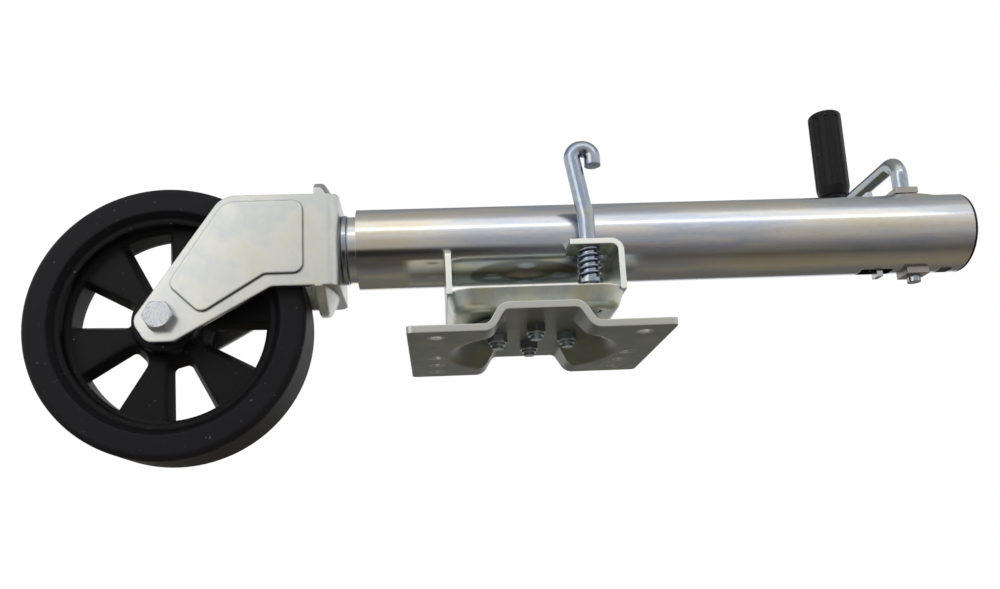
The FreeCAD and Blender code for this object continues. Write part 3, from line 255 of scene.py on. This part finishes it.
def zinc_plating(name, colour, rough, cloud_mm, grain_mm, stretch=(1, 1, 1), tint_share=0.5, bump=0.15,
                 edge_mm=0.5, edge_tone=1.25, fleck=0.90, cut=None, crevice_shade_mm=0):
    """Plated steel: cloudy gloss, a faint yellow and blue cast, fine grain and a painted highlight on the
    edges.

    rough: least and most roughness of the clouds. stretch: below 1 draws the pattern out along that axis.
    fleck: tone of the darkest grains. cut: what cut_and_lit_faces needs for faces that shears or dies left
    brighter, partly painted light.
    """
    material, tree, place = blank_material(name)
    spread = add_node(tree, "ShaderNodeMapping", {"Scale": stretch}, {"Vector": place}).outputs["Vector"]
    cloud = add_node(tree, "ShaderNodeTexNoise",
                     {"Scale": 1 / (cloud_mm * MM), "Detail": 4.0, "Roughness": 0.55}, {"Vector": spread})
    grain = add_node(tree, "ShaderNodeTexNoise",
                     {"Scale": 1 / (grain_mm * MM), "Detail": 3.0, "Roughness": 0.6}, {"Vector": spread})
    warm, cool = [cast(colour, linear(tint), tint_share) for tint in FILM_TINTS]
    film = add_node(tree, "ShaderNodeValToRGB", {"stops": [
        (0.30, shade(warm, 0.95)), (0.45, colour), (0.58, shade(cool, 0.96)), (0.72, shade(colour, 1.04))]},
        {"Fac": cloud.outputs["Fac"]})
    spots = add_node(tree, "ShaderNodeValToRGB", {"stops": [
        (0.25, grey(fleck)), (0.5, grey(1.0)), (0.8, grey((1 + fleck) / 2))]}, {"Fac": grain.outputs["Fac"]})
    mixed = add_node(tree, "ShaderNodeMix", {"data_type": "RGBA", "blend_type": "MULTIPLY", 0: 1.0},
                     {6: film.outputs["Color"], 7: spots.outputs["Color"]})
    gloss = add_node(tree, "ShaderNodeMapRange", {"To Min": rough[0], "To Max": rough[1]},
                     {"Value": cloud.outputs["Fac"]})
    corner = add_node(tree, "ShaderNodeBevel", {"Radius": edge_mm * MM, "samples": EDGE_SAMPLES})
    relief = add_node(tree, "ShaderNodeBump", {"Strength": bump, "Distance": PLATING_RELIEF},
                      {"Height": grain.outputs["Fac"], "Normal": corner.outputs["Normal"]})
    tone, bright = mixed.outputs[2], shade(colour, edge_tone)
    # Brighter faces by the way they turn: partly cut metal, partly painted light
    if cut:
        tone = cut_and_lit_faces(tree, tone, **cut)
        bright = shade(cut["brighter"], edge_tone)
    # Painted highlight on the edges
    tone = painted_edge_highlight(tree, tone, corner.outputs["Normal"], bright)
    # Painted shade in the inner corners
    if crevice_shade_mm:
        tone = painted_crevice_shade(tree, tone, crevice_shade_mm * MM)
    shader = add_node(tree, "ShaderNodeBsdfPrincipled", {"Metallic": 1.0}, {
        "Base Color": tone, "Roughness": gloss.outputs["Result"], "Normal": relief.outputs["Normal"]})
    add_node(tree, "ShaderNodeOutputMaterial", links={"Surface": shader.outputs["BSDF"]})
    return material


def moulded(name, colour, rough, grain_mm, bump, edge_mm=0.7, gleam=0.5):
    """Plastic or rubber from a mould with an eroded grain, with faint clouds and a few specks of dust.

    rough: least and most roughness of the clouds. gleam: how strongly the surface mirrors.
    """
    material, tree, place = blank_material(name)
    cloud = add_node(tree, "ShaderNodeTexNoise",
                     {"Scale": 1 / MOULDED_CLOUD, "Detail": 5.0, "Roughness": 0.6}, {"Vector": place})
    grain = add_node(tree, "ShaderNodeTexNoise",
                     {"Scale": 1 / (grain_mm * MM), "Detail": 2.0}, {"Vector": place})
    clouds = add_node(tree, "ShaderNodeValToRGB", {"stops": [
        (0.3, shade(colour, 1 - MOULDED_MOTTLE)), (0.55, colour),
        (0.8, shade(colour, 1 + 2 * MOULDED_MOTTLE))]}, {"Fac": cloud.outputs["Fac"]})
    dust = add_node(tree, "ShaderNodeTexNoise", {"Scale": 1 / DUST_SIZE, "Detail": 2.0}, {"Vector": place})
    specks = add_node(tree, "ShaderNodeMapRange", {"From Min": 0.71, "From Max": 0.79, "To Max": 0.5},
                      {"Value": dust.outputs["Fac"]})
    tone = add_node(tree, "ShaderNodeMix", {"data_type": "RGBA", 7: linear(DUST)},
                    {0: specks.outputs["Result"], 6: clouds.outputs["Color"]}).outputs[2]
    gloss = add_node(tree, "ShaderNodeMapRange", {"To Min": rough[0], "To Max": rough[1]},
                     {"Value": cloud.outputs["Fac"]})
    corner = add_node(tree, "ShaderNodeBevel", {"Radius": edge_mm * MM, "samples": EDGE_SAMPLES})
    relief = add_node(tree, "ShaderNodeBump", {"Strength": bump, "Distance": MOULDED_RELIEF},
                      {"Height": grain.outputs["Fac"], "Normal": corner.outputs["Normal"]})
    shader = add_node(tree, "ShaderNodeBsdfPrincipled",
                      {"IOR": MOULDED_IOR, "Specular IOR Level": gleam},
                      {"Base Color": tone, "Roughness": gloss.outputs["Result"],
                       "Normal": relief.outputs["Normal"]})
    add_node(tree, "ShaderNodeOutputMaterial", links={"Surface": shader.outputs["BSDF"]})
    return material


def dress(material, *names):
    """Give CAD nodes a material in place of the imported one."""
    for name in names:
        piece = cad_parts[name]
        piece.data.materials.clear()
        piece.data.materials.append(material)


def deselect():
    bpy.ops.object.select_all(action="DESELECT")


class JACK_OT_tubes(bpy.types.Operator):
    """Plate the outer tube, the sliding tube and the bearing carrier."""
    bl_idname = "jack.tubes"
    bl_label = "Tubes"

    def execute(self, context):
        look = context.scene.jack_finishes
        # Drawn tube keeps a smooth skin under its zinc, so it mirrors the room in clear bands. The drawing
        # pulls its dull clouds out along the tube, here to six times their width.
        drawn = zinc_plating("zinc_plated_drawn_steel", look.bright_zinc, rough=(0.07, 0.30), cloud_mm=22,
                             grain_mm=0.9, stretch=(0.16, 1, 1), tint_share=0.6, bump=0.12)
        dress(drawn, "outer_tube", "inner_tube", "bearing_carrier")
        return {"FINISHED"}


class JACK_OT_bracket(bpy.types.Operator):
    """Finish the swivel bracket, its plate and the retaining disc."""
    bl_idname = "jack.bracket"
    bl_label = "Bracket and plate"

    def execute(self, context):
        look = context.scene.jack_finishes
        # Pressed sheet with a passivated coat: greenish yellow clouds in a soft gloss, and near-white edges
        # where the sheet was cut, partly bare metal and partly a painted highlight. Those face along Y.
        cut = {"brighter": look.cut_and_highlit_sheet, "axis": "Y", "span": (0.97, 0.99)}
        sheet = zinc_plating("passivated_zinc_pressed_steel", look.sheet_zinc, rough=(0.34, 0.46),
                             cloud_mm=20, grain_mm=0.7, edge_mm=1.2, cut=cut)
        # Thick pressed plate, dull all over: a painted shade greys it wherever it faces down; paler on its
        # upper face, its sheared sides and the walls of its holes
        cut = {"brighter": look.cut_zinc, "axis": "Z", "span": (-0.35, -0.15), "both": False}
        plate = zinc_plating("shaded_zinc_pressed_steel", look.plate_zinc, rough=(0.36, 0.50), cloud_mm=24,
                             grain_mm=0.8, tint_share=0.3, bump=0.25, edge_mm=1.1, edge_tone=1.7, cut=cut)
        # Punched disc: the plate's painted-shade grey all over, which the tube mirrors as a dark round with
        # pale bolts
        disc = zinc_plating("shaded_zinc_punched_steel", look.plate_zinc, rough=(0.36, 0.50), cloud_mm=24,
                            grain_mm=0.8, tint_share=0.3, bump=0.25, edge_mm=1.1, edge_tone=1.7)
        dress(sheet, "swivel_bracket")
        dress(plate, "mounting_plate")
        dress(disc, "retaining_disc", "pivot_hub")
        return {"FINISHED"}


class JACK_OT_castor(bpy.types.Operator):
    """Finish the fork, the wheel, the tyre, the end cap and the guides."""
    bl_idname = "jack.castor"
    bl_label = "Castor and mouldings"

    def execute(self, context):
        look = context.scene.jack_finishes
        # Deep-pressed sheet under satin zinc: pale and even; a painted highlight on its round edges and a
        # painted shade line at the foot of the raised panel
        fork = zinc_plating("satin_zinc_pressed_steel", look.fork_zinc, rough=(0.27, 0.35), cloud_mm=30,
                            grain_mm=0.5, tint_share=0.2, bump=0.16, edge_mm=1.8, edge_tone=1.15,
                            crevice_shade_mm=2.0)
        # Moulded polyamide: deep black with a faint sheen on its well-rounded edges
        wheel = moulded("moulded_polyamide", look.moulding, rough=(0.44, 0.54), grain_mm=0.35, bump=0.2,
                        edge_mm=5, gleam=0.14)
        # Moulded polypropylene: the same black, a little shinier
        cap = moulded("moulded_polypropylene", look.moulding, rough=(0.42, 0.5), grain_mm=0.35, bump=0.2,
                      gleam=0.3)
        # Vulcanised rubber: matt and slightly lighter, with the coarser skin of its mould
        rubber = moulded("vulcanised_rubber", look.rubber, rough=(0.5, 0.62), grain_mm=0.5, bump=0.3,
                         edge_mm=1.8, gleam=0.15)
        # Moulded acetal: off-white and slippery, with a clean gloss
        guide = moulded("moulded_acetal", look.guide, rough=(0.35, 0.45), grain_mm=0.3, bump=0.1)
        dress(fork, "castor_fork")
        dress(wheel, "wheel_centre")
        dress(cap, "end_cap")
        dress(rubber, "tyre")
        dress(guide, "mouth_guide", "leg_guide")
        return {"FINISHED"}


class JACK_OT_rods(bpy.types.Operator):
    """Finish the crank, the lock pin, its spring, the grip, every fastener and the drive."""
    bl_idname = "jack.rods"
    bl_label = "Rods, fasteners and drive"

    def execute(self, context):
        look = context.scene.jack_finishes
        # Drawn rod in bright blue-white zinc: narrow, sharp highlights along the bends
        rod = zinc_plating("zinc_plated_drawn_rod", look.rod_zinc, rough=(0.12, 0.24), cloud_mm=12,
                           grain_mm=0.5, bump=0.12)
        # Forged bolts and nuts in blue zinc: bluish, with corners brightened by a painted highlight
        bolt = zinc_plating("blue_zinc_forged_steel", look.bolt_zinc, rough=(0.24, 0.4), cloud_mm=6,
                            grain_mm=0.35, tint_share=0.4, bump=0.25, edge_mm=0.6, edge_tone=1.6)
        # The axle bolt's forged head kept its scale under the zinc: a pitted, speckled face
        head = zinc_plating("coarse_zinc_forged_steel", look.head_zinc, rough=(0.25, 0.5), cloud_mm=2.2,
                            grain_mm=1.5, tint_share=0.15, bump=1.0, edge_mm=0.6, edge_tone=1.4, fleck=0.45)
        # Wound spring wire, plated: smooth and bluish, bright only where it turns to the light
        wire = zinc_plating("zinc_plated_spring_wire", look.spring_wire, rough=(0.2, 0.32), cloud_mm=5,
                            grain_mm=0.3, bump=0.1, edge_mm=0.2)
        # Sintered steel: pressed powder, so a warm, porous grey without a clear highlight
        sinter = zinc_plating("sintered_steel", look.sintered, rough=(0.4, 0.55), cloud_mm=4, grain_mm=0.4,
                              tint_share=0.2, bump=0.4, edge_mm=0.6)
        # Turned and oiled steel: an even grey with a plain gloss
        turned = zinc_plating("turned_steel", look.turned_steel, rough=(0.25, 0.4), cloud_mm=8, grain_mm=0.3,
                              tint_share=0.1)
        # Moulded polyethylene: black and a little waxy, so its flutes catch a soft light
        grip = moulded("moulded_polyethylene", look.grip, rough=(0.34, 0.45), grain_mm=0.4, bump=0.25,
                       gleam=0.16)
        dress(rod, "crank_handle", "lock_pin", "lock_pin_collar", "castor_race")
        dress(bolt, "pivot_bolts", "pivot_nuts", "axle_nut")
        dress(head, "axle_bolt")
        dress(wire, "lock_spring")
        dress(sinter, "upper_crank_bush", "lower_crank_bush")
        dress(turned, "drive_nut", "leg_plug", "king_pin", "axle_spacer_near", "axle_spacer_far",
              "wheel_bush", "lead_screw", "driven_gear", "gear_roll_pin", "thrust_race_screw",
              "thrust_race_carrier", "crank_pinion", "pinion_roll_pin", "ball_cage", "thrust_balls")
        dress(grip, "grip")
        return {"FINISHED"}


class JACK_OT_welds(bpy.types.Operator):
    """Lay a rippled weld bead on the far side of the tube, up from the saddle of each ear."""
    bl_idname = "jack.welds"
    bl_label = "Weld beads"

    def execute(self, context):
        look, sizes = context.scene.jack_finishes, context.scene.jack_details
        # Arc weld under the bracket's plating: the same colour on a rougher, rippled skin
        finish = zinc_plating("zinc_plated_weld", look.sheet_zinc, rough=(0.25, 0.42), cloud_mm=5,
                              grain_mm=0.6, bump=0.5)
        radius = sizes.bead_radius
        ring = TUBE_RADIUS + radius * BEAD_STAND
        for name, side in (("weld_left", EAR_FACES[0] + EAR_WALL), ("weld_right", EAR_FACES[1])):
            deselect()
            bpy.ops.mesh.primitive_circle_add(
                vertices=BEAD_CORNERS, radius=radius, fill_type="NGON",
                location=(side, ring * math.cos(BEAD_START), TUBE_AXIS + ring * math.sin(BEAD_START)),
                rotation=(BEAD_START + math.pi, 0, 0))
            bead = context.active_object
            bead.name = name
            bpy.ops.object.transform_apply(location=True, rotation=True, scale=True)
            bpy.ops.object.mode_set(mode="EDIT")
            bpy.ops.mesh.select_all(action="SELECT")
            # About -X, the spin goes up the far side of the tube
            bpy.ops.mesh.spin(steps=sizes.bead_step, angle=BEAD_SWEEP, center=(side, 0, TUBE_AXIS),
                              axis=(-1, 0, 0))
            bpy.ops.mesh.select_all(action="SELECT")
            bpy.ops.mesh.remove_doubles(threshold=BEAD_MERGE)
            bpy.ops.mesh.normals_make_consistent(inside=False)
            bpy.ops.object.mode_set(mode="OBJECT")
            for spot in bead.data.vertices:
                angle = math.atan2(spot.co.z - TUBE_AXIS, spot.co.y)
                middle = Vector((side, ring * math.cos(angle), TUBE_AXIS + ring * math.sin(angle)))
                ripple = 1 + RIPPLE_DEPTH * math.cos(angle * RIPPLES_PER_TURN)
                spot.co = middle + (spot.co - middle) * ripple
            bpy.ops.object.shade_smooth()
            bead.data.materials.append(finish)
            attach(bead, "bracket")
        return {"FINISHED"}


# Studio

def lamp(name, size, power, spot, target):
    """White softbox that looks at a target."""
    deselect()
    bpy.ops.object.light_add(type="AREA", location=spot)
    light = bpy.context.active_object
    light.name = name
    light.data.shape = "RECTANGLE"
    light.data.size, light.data.size_y = size
    light.data.energy = power
    light.rotation_euler = (Vector(target) - Vector(spot)).to_track_quat("-Z", "Y").to_euler()


def reflection_card(name, size, spot, tilt, axis, run, stops):
    """Glowing card that only reflections see, a painted reflection; its paint runs along one axis, run[0] to
    run[1].
    """
    deselect()
    bpy.ops.mesh.primitive_plane_add(size=1, location=spot, rotation=(math.radians(tilt), 0, 0))
    card = bpy.context.active_object
    card.name = name
    card.scale = (*size, 1)
    bpy.ops.object.transform_apply(location=True, rotation=True, scale=True)
    material, tree, place = blank_material(name + "_reflection_glow")
    split = add_node(tree, "ShaderNodeSeparateXYZ", links={"Vector": place})
    along = add_node(tree, "ShaderNodeMapRange", {"From Min": run[0], "From Max": run[1]},
                     {"Value": split.outputs[axis]})
    paint = add_node(tree, "ShaderNodeValToRGB", {"stops": [(at, linear(code)) for at, code in stops]},
                     {"Fac": along.outputs["Result"]})
    near = add_node(tree, "ShaderNodeMapping", {
        "Location": [-part / reach for part, reach in zip(DARK_REFLECTION_PLACE, DARK_REFLECTION_REACH)],
        "Scale": [1 / reach for reach in DARK_REFLECTION_REACH]}, {"Vector": place})
    dark = add_node(tree, "ShaderNodeTexGradient", {"gradient_type": "SPHERICAL"},
                    {"Vector": near.outputs["Vector"]})
    share = add_node(tree, "ShaderNodeMapRange", {"From Max": 0.7}, {"Value": dark.outputs["Fac"]})
    mixed = add_node(tree, "ShaderNodeMix", {"data_type": "RGBA", 7: linear(CARD_DARK_REFLECTION)},
                     {0: share.outputs["Result"], 6: paint.outputs["Color"]})
    # The card glows instead of taking light from the lamps: a painted reflection
    glow = add_node(tree, "ShaderNodeEmission", {"Strength": 1.0}, {"Color": mixed.outputs[2]})
    add_node(tree, "ShaderNodeOutputMaterial", links={"Surface": glow.outputs["Emission"]})
    card.data.materials.append(material)
    card.visible_camera = card.visible_diffuse = card.visible_shadow = card.visible_transmission = False


def white_world(level):
    """White for camera, glossy and transmission rays alike; plain light of one level for the rest."""
    world = bpy.data.worlds.new("white_room")
    world.use_nodes = True
    tree = world.node_tree
    tree.nodes.clear()
    rays = add_node(tree, "ShaderNodeLightPath")
    metal = add_node(tree, "ShaderNodeMath", {"operation": "MAXIMUM"},
                     {0: rays.outputs["Is Camera Ray"], 1: rays.outputs["Is Glossy Ray"]})
    white = add_node(tree, "ShaderNodeMath", {"operation": "MAXIMUM"},
                     {0: metal.outputs["Value"], 1: rays.outputs["Is Transmission Ray"]})
    tone = add_node(tree, "ShaderNodeMix", {"data_type": "RGBA", 6: grey(level), 7: grey(1.0)},
                    {0: white.outputs["Value"]})
    sky = add_node(tree, "ShaderNodeBackground", {"Strength": 1.0}, {"Color": tone.outputs[2]})
    add_node(tree, "ShaderNodeOutputWorld", links={"Surface": sky.outputs["Background"]})
    return world


class JACK_OT_studio(bpy.types.Operator):
    """Pale floor, the glowing cards that paint the tube's reflections, softboxes, a white world and the
    camera.
    """
    bl_idname = "jack.studio"
    bl_label = "Studio"

    def execute(self, context):
        scene, studio = context.scene, context.scene.jack_studio
        deselect()
        bpy.ops.mesh.primitive_plane_add(size=2 * studio.floor_reach, location=(0, 0, -studio.floor_drop))
        floor = context.active_object
        floor.name = "floor"
        # Backdrop paper: matt and nearly white, with faint clouds of its pulp, nine to a metre
        material, tree, place = blank_material("matt_backdrop_paper")
        fibres = add_node(tree, "ShaderNodeTexNoise", {"Scale": 9.0, "Detail": 3.0}, {"Vector": place})
        paper = add_node(tree, "ShaderNodeValToRGB", {"stops": [
            (0.3, shade(studio.floor_colour, 0.985)), (0.7, studio.floor_colour)]},
            {"Fac": fibres.outputs["Fac"]})
        shader = add_node(tree, "ShaderNodeBsdfPrincipled", {"Roughness": 0.9},
                          {"Base Color": paper.outputs["Color"]})
        add_node(tree, "ShaderNodeOutputMaterial", links={"Surface": shader.outputs["BSDF"]})
        floor.data.materials.append(material)

        low, half = -studio.card_drop, CARD_WIDTH / 2
        reflection_card("floor_card", size=(CARD_WIDTH, CARD_WIDTH), spot=(0, 0, low),
                        tilt=0, axis="Y", run=(-half, half), stops=FLOOR_CARD)
        reflection_card("room_card", size=(CARD_WIDTH, ROOM_CARD_HEIGHT),
                        spot=(0, ROOM_CARD_PLACE, low + ROOM_CARD_HEIGHT / 2),
                        tilt=90, axis="Z", run=(low, low + ROOM_CARD_HEIGHT), stops=ROOM_CARD)
        reflection_card("ceiling_card", size=(CARD_WIDTH, CEILING_RUN[1] - CEILING_RUN[0]),
                        spot=(0, sum(CEILING_RUN) / 2, CEILING_HEIGHT),
                        tilt=0, axis="Y", run=CEILING_RUN, stops=CEILING_CARD)
        tube, leg = (0, 0, 0.08), (-0.1, 0, 0.05)
        lamp("top_softbox", size=(2.2, 0.7), power=studio.top_power, spot=(0.0, -0.85, 1.15), target=tube)
        lamp("strip_lamp", size=(2.2, 0.12), power=studio.strip_power, spot=(0.0, -1.05, 0.98), target=tube)
        lamp("side_softbox", size=(0.9, 0.9), power=studio.side_power, spot=(-1.0, -1.15, 0.55),
             target=leg)
        scene.world = white_world(studio.room_level)

        camera = bpy.data.cameras.new("camera")
        camera.lens, camera.sensor_width = studio.lens, SENSOR_MM
        camera.shift_x, camera.shift_y = CAMERA_SHIFT
        camera.clip_start, camera.clip_end = CAMERA_NEAR, CAMERA_FAR
        stand = bpy.data.objects.new("camera", camera)
        scene.collection.objects.link(stand)
        stand.location = CAMERA_PLACE
        stand.rotation_euler = [math.radians(turn) for turn in CAMERA_TURN]
        scene.camera = stand
        scene.view_settings.view_transform = "Standard"
        return {"FINISHED"}


OPERATORS = (JACK_OT_tubes, JACK_OT_bracket, JACK_OT_castor, JACK_OT_rods, JACK_OT_welds, JACK_OT_studio)


class JACK_PT_panel(bpy.types.Panel):
    """Lists the steps that dress the jack."""
    bl_idname = "JACK_PT_panel"
    bl_label = "Trailer jack"
    bl_space_type = "VIEW_3D"
    bl_region_type = "UI"
    bl_category = "Jack"

    def draw(self, context):
        for step in OPERATORS:
            self.layout.operator(step.bl_idname)


CLASSES = (JackFinishes, JackDetails, JackStudio, *OPERATORS, JACK_PT_panel)


def register():
    for item in CLASSES:
        bpy.utils.register_class(item)
    bpy.types.Scene.jack_finishes = bpy.props.PointerProperty(type=JackFinishes)
    bpy.types.Scene.jack_details = bpy.props.PointerProperty(type=JackDetails)
    bpy.types.Scene.jack_studio = bpy.props.PointerProperty(type=JackStudio)


def unregister():
    del bpy.types.Scene.jack_studio
    del bpy.types.Scene.jack_details
    del bpy.types.Scene.jack_finishes
    for item in reversed(CLASSES):
        bpy.utils.unregister_class(item)


def main():
    register()
    bpy.ops.jack.tubes()
    bpy.ops.jack.bracket()
    bpy.ops.jack.castor()
    bpy.ops.jack.rods()
    bpy.ops.jack.welds()
    bpy.ops.jack.studio()


if __name__ == "__main__":
    main()
